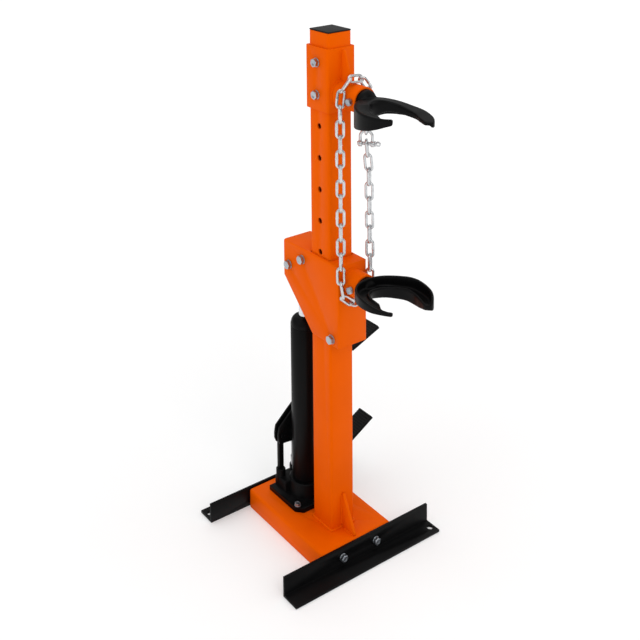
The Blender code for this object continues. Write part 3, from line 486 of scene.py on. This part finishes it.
hexbolt("bolt_bracket_lower", "bracket_bolt_lower", (1, 0, 0), 5.4, 16, 7.0, 8.0, turn=0.3)
hexbolt("bolt_bracket_upper", "bracket_bolt_upper", (1, 0, 0), 5.4, 16, 7.0, 8.0, turn=0.75)
hexbolt("bolt_rear_roller", "rear_roller_axle", (1, 0, 0), 6.0, 16, 7.0, 8.0, turn=0.1)
hexbolt("bolt_front_roller", "front_roller_axle", (1, 0, 0), 5.0, 16, 7.0, 8.0, turn=0.5)
hexbolt("bolt_ram_pin", "ram_pin", (1, 0, 0), 7.0, 16, 7.0, 8.0, turn=0.9)
hexbolt("bolt_yoke_upper", "upper_yoke_bolt", (1, 0, 0), 4.0, 12.6, 7.6, washer=False, turn=0.2)
hexbolt("bolt_yoke_lower", "lower_yoke_bolt", (1, 0, 0), 4.0, 12.6, 7.6, washer=False, turn=0.6)
hexbolt("bolt_front_foot_left", "front_foot_bolt_left", (0, 1, 0), 5.0, 14, 6.0, 7.0, turn=0.2)
hexbolt("bolt_front_foot_right", "front_foot_bolt_right", (0, 1, 0), 5.0, 14, 6.0, 7.0, turn=0.7)
hexbolt("bolt_rear_foot_left", "rear_foot_bolt_left", (0, -1, 0), 5.0, 14, 6.0, 7.0, turn=0.4)
hexbolt("bolt_rear_foot_right", "rear_foot_bolt_right", (0, -1, 0), 5.0, 14, 6.0, 7.0, turn=0.0)
hexbolt("bolt_jack_left", "jack_bolt_front_left", (0, 0, -1), 4.0, 11.5, 4.5, 6.0, turn=0.3)
hexbolt("bolt_jack_right", "jack_bolt_front_right", (0, 0, -1), 4.0, 11.5, 4.5, 6.0, turn=0.8)

# ================================================================ jack and pump
JY = 94.0
piece("jack_tube", lathe([(28.5, 429.2), (28.0, 430), (25, 430), (25, 84.3), (28.0, 84.3), (28.5, 85)], (0, JY, 0), n=96),
      CAST, "jack_reservoir", "jack_reservoir")
piece("jack_top_nut", lathe([(12.5, 452), (15.5, 451.6), (20.5, 449.6), (24.4, 445.6), (26.9, 440.5), (28.2, 435.5),
                             (28.5, 433), (28.5, 430.6), (28.1, 430.3), (24.5, 430.3), (24.5, 428), (10.9, 428), (10.9, 451.2), (11.6, 452)],
                            (0, JY, 0), n=96), CAST, "jack_gland", "jack_gland", smooth=50)
piece("ram_bar", lathe([(0, 90), (4.1, 90), (4.1, 114.3), (10.5, 114.3), (10.5, 555.5), (9.6, 557), (7.0, 557), (7.0, 562), (0, 562)],
                       (0, JY, 0), n=64), CHROME, "ram_rod", "ram_rod")
for nm, y, z, r, rs in (("rear_roller_wheel", 50.0, 600.5, 19.5, 6.3), ("front_roller_wheel", -43.0, 467.0, 12.7, 5.3)):
    nn = nm.replace("_wheel", "")
    piece(nm, lathe([(rs, 24), (r - 2, 24), (r - 0.6, 23.4), (r, 22), (r, -22), (r - 0.6, -23.4), (r - 2, -24), (rs, -24)],
                    (0, y, z), (1, 0, 0), 64), STEEL, nn, nn)
PX, PY = 9.5, 139.0
piece("pump_barrel", lathe([(6.4, 104), (10.6, 104), (12, 102.6), (12, 90), (11.2, 89.2), (11.2, 88), (12, 87.2), (12, 84.3), (9, 84.3), (9, 68), (6.4, 68)],
                           (PX, PY, 0), n=48), STEEL, "pump_cylinder", "pump_cylinder")
coil = []
turns = 6.0
for i in range(int(turns * 28) + 1):
    t = i / (turns * 28)
    ease = min(1.0, t * turns, (1 - t) * turns)          # ease for closer end coils, not used: the coil keeps an even pitch
    a = math.tau * turns * t
    coil.append((PX + 9.4 * math.cos(a), PY + 9.4 * math.sin(a), 105.6 + 29.8 * t))
spring = piece("return_spring", tube(coil, 1.2, 10), STEEL, "pump_return_spring", "pump_return_spring", smooth=180)
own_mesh(spring)   # own copy of its mesh; the real spring closes up as the plunger goes down
for nm, nn, x0, x1 in (("spacer_left", "ram_spacer_left", -32.6, -15.4), ("spacer_right", "ram_spacer_right", 15.4, 32.6)):
    c = (x0 + x1) / 2
    h = (x1 - x0) / 2
    piece(nm, lathe([(7.3, h), (10.4, h), (11, h - 0.6), (11, -h + 0.6), (10.4, -h), (7.3, -h)], (c, JY, 574), (1, 0, 0), 48), STEEL, nn, nn)
lo, hi = (Vector(p) * 1000 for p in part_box("fulcrum_pin"))
for nm, nn in (("fulcrum_pin_round", "fulcrum_pin"), ("plunger_pin_round", "plunger_pin"), ("release_pin_round", "release_pivot_pin")):
    lo, hi = (Vector(p) * 1000 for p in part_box(nn))
    c, h, r = (lo + hi) / 2, (hi.y - lo.y) / 2, (4.5 if nn == "fulcrum_pin" else 4.9 if nn == "plunger_pin" else 4.0)
    if nn == "release_pivot_pin":
        prof = [(0, h), (r - 0.6, h), (r, h - 0.6), (r, -h + 2.6), (6.5, -h + 2.6), (6.5, -h + 0.6), (5.9, -h), (0, -h)]
    else:
        prof = [(0, h), (r - 0.6, h), (r, h - 0.6), (r, h - 1.4), (r - 0.4, h - 1.5), (r - 0.4, h - 2.0), (r, h - 2.1),
                (r, -h + 0.6), (r - 0.6, -h), (0, -h)]
    piece(nm, lathe(prof, c, (0, 1, 0), 40), BLACK, nn, nn)


def ribbed_pad(name, node_name, tip, slope, length, off0, rise, y0, y1, pitch=6.0, rib=1.1):
    """Rubber tread: a low slab with rounded ribs across it, moulded over the pedal."""
    a = math.radians(slope)
    def at(s, h):
        return (tip[0] + s * math.cos(a) - h * math.sin(a), tip[1] + s * math.sin(a) + h * math.cos(a))
    n = int(length / pitch)
    outline = [(off0 - length, rise[0]), (off0, rise[0])]
    top = rise[1] - rib
    outline.append((off0, top))
    for i in range(n):
        s1 = off0 - length * i / n
        w = length / n
        for f, h in ((0.22, 0.0), (0.30, 0.75), (0.40, 1.0), (0.60, 1.0), (0.70, 0.75), (0.78, 0.0)):
            outline.append((s1 - w * f, top + rib * h))
    outline.append((off0 - length, top))
    rings = []
    for y, k in ((y0, 0.0), (y0 + 0.8, 1.0), (y1 - 0.8, 1.0), (y1, 0.0)):
        ring = []
        for s, h in outline:
            hh = h if k else min(h, top - 0.4) if h > rise[0] else h
            x, z = at(s, hh)
            ring.append(V(x, y, z))
        rings.append(ring)
    return piece(name, loft(rings), RUBBER, node_name, node_name, smooth=30)


ribbed_pad("pump_tread", "pump_pedal_pad", (240.0, 338.0), 21.0, 79.0, -1.0, (4.8, 9.0), 122, 163)
ribbed_pad("release_tread", "release_pedal_pad", (58.0, 68.0), 28.5, 74.0, 160.0, (2.8, 7.0), 101, 140)


# ================================================================ yokes (cast, painted)
YC, RO, RI, NEAR_TIP, FAR_TIP = -184.0, 75.0, 46.0, -134.0, 140.0
UPPER = [(-134, -7, 4), (-120, -14, 4), (-105, -21, 5), (-90, -26, 6), (-75, -29.5, 7), (-60, -33, 9), (-30, -38, 10),
         (0, -38, 10), (25, -27, 6), (50, -28, -0.5), (75, -30.5, -8.5), (90, -30.5, -10), (105, -29.5, -14),
         (118, -28.5, -16), (124, -31, -17), (140, -29, -19)]
LOWER = [(-134, 10, 17), (-120, 10.5, 18), (-105, 9, 21), (-90, 9, 26), (-60, 6, 28), (-30, 0, 26.5), (0, -7, 25), (45, -12, 24),
         (75, -12, 27), (90, -14, 24.5), (105, -13, 21.5), (118, -11, 20), (130, -8, 15), (140, -5, 9)]


def level(table, a):
    """Smooth height of the jaw's two faces at angle a (averaged over a small window)."""
    def raw(b):
        b = max(NEAR_TIP, min(FAR_TIP, b))
        for (a0, l0, h0), (a1, l1, h1) in zip(table, table[1:]):
            if b <= a1:
                t = (b - a0) / (a1 - a0)
                return l0 + (l1 - l0) * t, h0 + (h1 - h0) * t
        return table[-1][1:]
    got = [raw(a + k * 3.0) for k in range(-3, 4)]
    return sum(g[0] for g in got) / 7, sum(g[1] for g in got) / 7


def width(a):
    """Outer and inner radius of the C: a narrow tongue ends the short arm, a finger the long one."""
    near = min(1.0, max(0.0, (-a - 98.0) / 20.0))
    far = min(1.0, max(0.0, (a - 112.0) / 28.0))
    near, far = near * near * (3 - 2 * near), far ** 1.6
    return RO - 2.0 * near - 4.5 * far, RI + 15.0 * near + 9.0 * far


def jaw(table, z0, up, n=90):
    rings = []
    span = FAR_TIP - NEAR_TIP
    steps = ([(NEAR_TIP, 0.50), (NEAR_TIP + 0.5, 0.78), (NEAR_TIP + 1.6, 0.94)]
             + [(NEAR_TIP + 3.2 + (span - 9.0) * i / n, 1.0) for i in range(n + 1)]
             + [(FAR_TIP - 3.4, 0.95), (FAR_TIP - 1.4, 0.82), (FAR_TIP - 0.4, 0.62), (FAR_TIP, 0.40)])
    for a, shrink in steps:
        lo, hi = level(table, a)
        q = hi - lo
        o, w = width(a)
        end = min(1.0, max(0.0, (FAR_TIP - 6.0 - a) / 5.0)) * min(1.0, max(0.0, (a - NEAR_TIP - 3.0) / 5.0))
        fl, lip, wl = 0.42 * q, 0.35 * q, min(5.0, (o - w) * 0.3)
        fl += (q - lip - fl) * 0.95 * (1 - end)       # the seat runs out before each tip
        big, small = min(4.0, 0.16 * q), min(2.2, 0.08 * q, wl * 0.45)
        if up > 0:
            sec = [(o, lo), (o, hi), (o - wl, hi), (o - wl, lo + fl), (w + wl, lo + fl),
                   (w + wl, hi - lip), (w, hi - lip), (w, lo)]
            rad = [big, small, small, big, small, small, small, big]
        else:
            dip = 0.22 * q * min(1.0, max(0.0, (-a - 45) / 30))
            sec = [(o, lo), (o, hi), (w, hi - dip), (w, lo + lip), (w + wl, lo + lip), (w + wl, hi - dip - fl),
                   (o - wl, hi - dip - fl), (o - wl, lo)]
            rad = [small, big, big, small, small, small, big, small]
        pts = rounded(sec, rad, 4)
        cr, cz = (o + w) / 2, (lo + hi) / 2
        t = math.radians(a)
        ring = []
        for p in pts:
            r, z = cr + (p[0] - cr) * shrink, cz + (p[1] - cz) * shrink
            ring.append(V(r * math.sin(t), YC + r * math.cos(t), z0 + z))
        rings.append(ring)
    return loft(rings)


def yoke(name, node_name, table, z0, up):
    bm = jaw(table, z0, up)
    ob = tmp_object(bm, name + "_jaw")
    tools = []
    # round hub, growing into the jaw, and the spigot in its pipe with its groove
    hub = lathe([(0, 0), (21.7, 0), (22.9, 1.2), (22.9, 6.0), (22.0, 9.0), (19.0, 12.6), (14.0, 15.6), (7.5, 17.2), (0, 17.6)], (0, -102.3, z0), (0, -1, 0), 64)
    spig = lathe([(0, -66.6), (21.9, -66.6), (22.95, -67.6), (22.95, -84.6), (19.2, -85.4), (19.2, -96.6), (22.95, -97.4),
                  (22.95, -104.5), (0, -104.5)], (0, 0, z0), (0, 1, 0), 64)
    for i, b in enumerate((hub, spig)):
        t = tmp_object(b, "%s_tool%d" % (name, i))
        tools.append(t)
        m = ob.modifiers.new("join%d" % i, "BOOLEAN")
        m.operation, m.solver, m.object = "UNION", "EXACT", t
    bm = baked(ob, [("REMESH", dict(mode="VOXEL", voxel_size=0.00125, use_smooth_shade=True)),
                    ("SMOOTH", dict(factor=0.5, iterations=5))])
    for t in tools:
        bpy.data.objects.remove(t, do_unlink=True)
    return piece(name, bm, CAST, node_name, node_name, smooth=180)


yoke("yoke_casting_upper", "upper_yoke", UPPER, 963.0, -1)
yoke("yoke_casting_lower", "lower_yoke", LOWER, 586.0, 1)

# ================================================================ chain and shackle
CX, CB, SHX, SHZ = 38.0, 40.5, 29.0, 866.0
UPZ, LOZ, CY = 963.0, 586.0, -73.5
COUNT, LINK_L, LINK_W, WIRE = 33, 39.6, 19.0, 5.6
RSH, WSH, LEG = 12.0, 5.8, 14.0
BOW_END, PIN_END = SHZ + LEG + RSH - WSH / 2 - 1.4, SHZ + 4.9
TURN = math.radians(-50)
ACROSS = Vector((-math.sin(TURN), math.cos(TURN), 0.0))


def curve(s):
    """Point (x, z) of the chain loop, s mm from the shackle's bow."""
    arc = math.pi * math.sqrt((CX * CX + CB * CB) / 2)
    for length, place in (
            (UPZ - BOW_END, lambda t: (SHX + (CX - SHX) * t / (UPZ - BOW_END), BOW_END + t)),
            (arc, lambda t: (CX * math.cos(math.pi * t / arc), UPZ + CB * math.sin(math.pi * t / arc))),
            (UPZ - LOZ, lambda t: (-CX, UPZ - t)),
            (arc, lambda t: (-CX * math.cos(math.pi * t / arc), LOZ - CB * math.sin(math.pi * t / arc)))):
        if s <= length:
            return place(s)
        s -= length
    z = LOZ + s
    return (CX - 2.4 * min(s / 227, 1.0) - (CX - 2.4 - SHX) * min(max((z - 813) / (PIN_END - 813), 0.0), 1.0), z)


def march(pitch):
    pts, s = [curve(0)], 0.0
    for _ in range(COUNT):
        a, b = s, s + 2 * pitch
        for _ in range(40):
            m = (a + b) / 2
            if math.dist(curve(m), pts[-1]) < pitch:
                a = m
            else:
                b = m
        s = b
        pts.append(curve(s))
    return pts


a, b = 27.0, 32.0
for _ in range(40):
    pitch = (a + b) / 2
    if march(pitch)[-1][1] < PIN_END:
        a = pitch
    else:
        b = pitch
ends = march(pitch)
bm = bmesh.new()
for i in range(COUNT):
    (x0, z0), (x1, z1) = ends[i], ends[i + 1]
    d = Vector((x1 - x0, 0, z1 - z0)).normalized()
    nrm = Vector((d.z, 0, -d.x)).normalized()
    tw = math.radians(-57 if i % 2 else 33)
    if i in (0, COUNT - 1):
        nrm, tw = ACROSS, 0.0
    w = (nrm * math.cos(tw) + Vector((0, 1, 0)) * math.sin(tw)).normalized()
    w = (w - d * w.dot(d)).normalized()
    mid = Vector(((x0 + x1) / 2, CY, (z0 + z1) / 2))
    rc, half = (LINK_W - WIRE) / 2, (LINK_L - LINK_W) / 2
    n = 12
    path = []
    for sgn in (1, -1):
        for k in range(n + 1):
            t = -math.pi / 2 + math.pi * k / n
            path.append(mid + (d * (half + rc * math.cos(t)) + w * rc * math.sin(t)) * sgn)
        # straight leg, with the butt weld's bead halfway along one side
        last = path[-1]
        nxt = mid + (d * half + w * -rc) * -sgn
        for f in ((0.36, 0.44, 0.5, 0.56, 0.64) if sgn > 0 else (0.33, 0.66)):
            path.append(last.lerp(nxt, f))
    swell = [1.0] * len(path)
    for k, f in ((n + 1, 1.0), (n + 2, 1.10), (n + 3, 1.14), (n + 4, 1.10), (n + 5, 1.0)):
        swell[k] = f
    tube(path, WIRE / 2, n=12, close=True, bm=bm, radius=lambda k: swell[k], nrm=d.cross(w))
piece("chain_links", bm, ZINC, "chain", "chain", smooth=180)

SH = Matrix.Translation(V(SHX, CY, SHZ)) @ Matrix.Rotation(TURN, 4, "Z")
bow = [(-RSH, 0, -1.0), (-RSH, 0, LEG)] + [(-RSH * math.cos(math.pi * i / 24), 0, LEG + RSH * math.sin(math.pi * i / 24))
                                       for i in range(1, 24)] + [(RSH, 0, LEG), (RSH, 0, -1.0)]
bm = tube(bow, WSH / 2, 16)
for sx in (-1, 1):
    lathe([(3.9, -3.4), (5.9, -3.4), (6.6, -2.7), (6.6, 2.7), (5.9, 3.4), (3.9, 3.4)], (sx * RSH, 0, 0), (1, 0, 0), 32, bm)
bmesh.ops.transform(bm, matrix=SH, verts=bm.verts)
piece("shackle_body", bm, ZINC, "shackle_bow", "shackle_bow", smooth=50)
bm = lathe([(0, -RSH - 6), (2.9, -RSH - 6), (3.5, -RSH - 5.4), (3.5, RSH + 4.2), (5.4, RSH + 4.2), (6.0, RSH + 4.8),
            (6.0, RSH + 5.6), (5.4, RSH + 6.2), (2.6, RSH + 6.2), (2.6, RSH + 8.0), (0, RSH + 8.0)], (0, 0, 0), (1, 0, 0), 32)
lathe([(2.2, 1.4), (4.9, 1.4), (5.5, 0.8), (5.5, -0.8), (4.9, -1.4), (2.2, -1.4)], (RSH + 11.0, 0, 0), (0, 1, 0), 32, bm)
bmesh.ops.transform(bm, matrix=SH, verts=bm.verts)
piece("shackle_screw_pin", bm, ZINC, "shackle_pin", "shackle_pin", smooth=50)

# ================================================================ studio
floor_bm = bmesh.new()
bmesh.ops.create_grid(floor_bm, x_segments=2, y_segments=2, size=30.0)
me = bpy.data.meshes.new("studio_floor")
floor_bm.to_mesh(me)
floor_bm.free()
floor = bpy.data.objects.new("studio_floor", me)
floor.location.z = -0.0005
scene.collection.objects.link(floor)
floor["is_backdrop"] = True
m, nt, b = new_mat("studio_floor")
co = coords(nt)
nt.links.new(mix_rgb(nt, noise(nt, co, 0.6, 2.0), (0.86, 0.86, 0.86), (0.89, 0.89, 0.89)), b.inputs["Base Color"])
b.inputs["Roughness"].default_value = 0.75
b.inputs["Specular IOR Level"].default_value = 0.1
b.inputs["Emission Color"].default_value = (1.0, 1.0, 1.0, 1.0)
far = node(nt, "ShaderNodeVectorMath", operation="LENGTH")
nt.links.new(co, far.inputs[0])
nt.links.new(remap(nt, far.outputs["Value"], 0.15, 0.36, 0.5, 3.5), b.inputs["Emission Strength"])
me.materials.append(m)

world = bpy.data.worlds.new("studio")
scene.world = world
world.use_nodes = True
bg = world.node_tree.nodes["Background"]
bg.inputs["Color"].default_value = (1.0, 1.0, 1.0, 1.0)
bg.inputs["Strength"].default_value = 0.80
nt = world.node_tree
tc = nt.nodes.new("ShaderNodeTexCoord")
sep = nt.nodes.new("ShaderNodeSeparateXYZ")
nt.links.new(tc.outputs["Generated"], sep.inputs[0])
bg3 = nt.nodes.new("ShaderNodeBackground")                   # what shiny faces reflect
nt.links.new(remap(nt, sep.outputs["Z"], 0.22, 1.0, -0.05, 0.75), bg3.inputs["Strength"])
glossy = nt.nodes.new("ShaderNodeMixShader")
bg2 = world.node_tree.nodes.new("ShaderNodeBackground")      # what the camera sees behind the floor
bg2.inputs["Color"].default_value = (1.0, 1.0, 1.0, 1.0)
path = world.node_tree.nodes.new("ShaderNodeLightPath")
both = world.node_tree.nodes.new("ShaderNodeMixShader")
world.node_tree.links.new(path.outputs["Is Camera Ray"], both.inputs["Fac"])
nt.links.new(path.outputs["Is Glossy Ray"], glossy.inputs["Fac"])
nt.links.new(bg.outputs[0], glossy.inputs[1])
nt.links.new(bg3.outputs[0], glossy.inputs[2])
world.node_tree.links.new(glossy.outputs[0], both.inputs[1])
world.node_tree.links.new(bg2.outputs[0], both.inputs[2])
world.node_tree.links.new(both.outputs[0], world.node_tree.nodes["World Output"].inputs["Surface"])


def softbox(name, at, target, size, watts, shape="RECTANGLE", size_y=None):
    li = bpy.data.lights.new(name, "AREA")
    li.shape = shape
    li.size = size
    li.size_y = size_y or size
    li.energy = watts
    ob = bpy.data.objects.new(name, li)
    ob.location = at
    ob.rotation_euler = (Vector(target) - Vector(at)).to_track_quat("-Z", "Y").to_euler()
    scene.collection.objects.link(ob)


softbox("key", (-0.6, -2.6, 2.6), (0, 0, 0.55), 1.6, 17)
softbox("side", (2.6, -1.2, 1.4), (0, 0, 0.6), 1.2, 5, size_y=2.0)
softbox("left", (-2.6, 0.2, 1.6), (0, 0.05, 0.5), 1.2, 6, size_y=2.2)
softbox("top", (0.0, 0.3, 3.2), (0, 0, 0.5), 1.8, 10)

# camera at the photograph's place: level picture plane, so verticals stay parallel
cam_data = bpy.data.cameras.new("camera")
cam = bpy.data.objects.new("camera", cam_data)
scene.collection.objects.link(cam)
scene.camera = cam
right = Vector((0.83986791, -0.54235846, -0.02166094))
up = Vector((0.08179095, 0.08700454, 0.99284463))
fwd = Vector((0.53659308, 0.83563001, -0.11743233))
rot = Matrix((right, up, -fwd)).transposed().to_4x4()
cam.matrix_world = Matrix.Translation(V(-1284.56, -1546.30, 1500.79)) @ rot
cam_data.sensor_width = 36.0
cam_data.lens = 1023.25 / 640 * 36.0
cam_data.clip_start, cam_data.clip_end = 0.01, 100.0
# the lens shift belongs to this one camera place: moved anywhere else, it is zero
HOME = -1.28456
for path, value in (("shift_x", (320 - 204.42) / 640), ("shift_y", (-57.44 - 320) / 640)):
    fc = cam_data.driver_add(path)
    fc.driver.type = "SUM"
    var = fc.driver.variables.new()
    var.name = "place"
    var.type = "TRANSFORMS"
    var.targets[0].id = cam
    var.targets[0].transform_type = "LOC_X"
    var.targets[0].transform_space = "WORLD_SPACE"
    for mod in list(fc.modifiers):
        fc.modifiers.remove(mod)
    fc.extrapolation = "CONSTANT"
    for k, v in ((HOME - 0.07, 0.0), (HOME - 0.04, value), (HOME + 0.04, value), (HOME + 0.07, 0.0)):
        kp = fc.keyframe_points.insert(k, v)
        kp.interpolation = "LINEAR"
    setattr(cam_data, path, value)

scene.view_settings.view_transform = "Standard"
scene.view_settings.look = "None"

lo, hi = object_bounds()
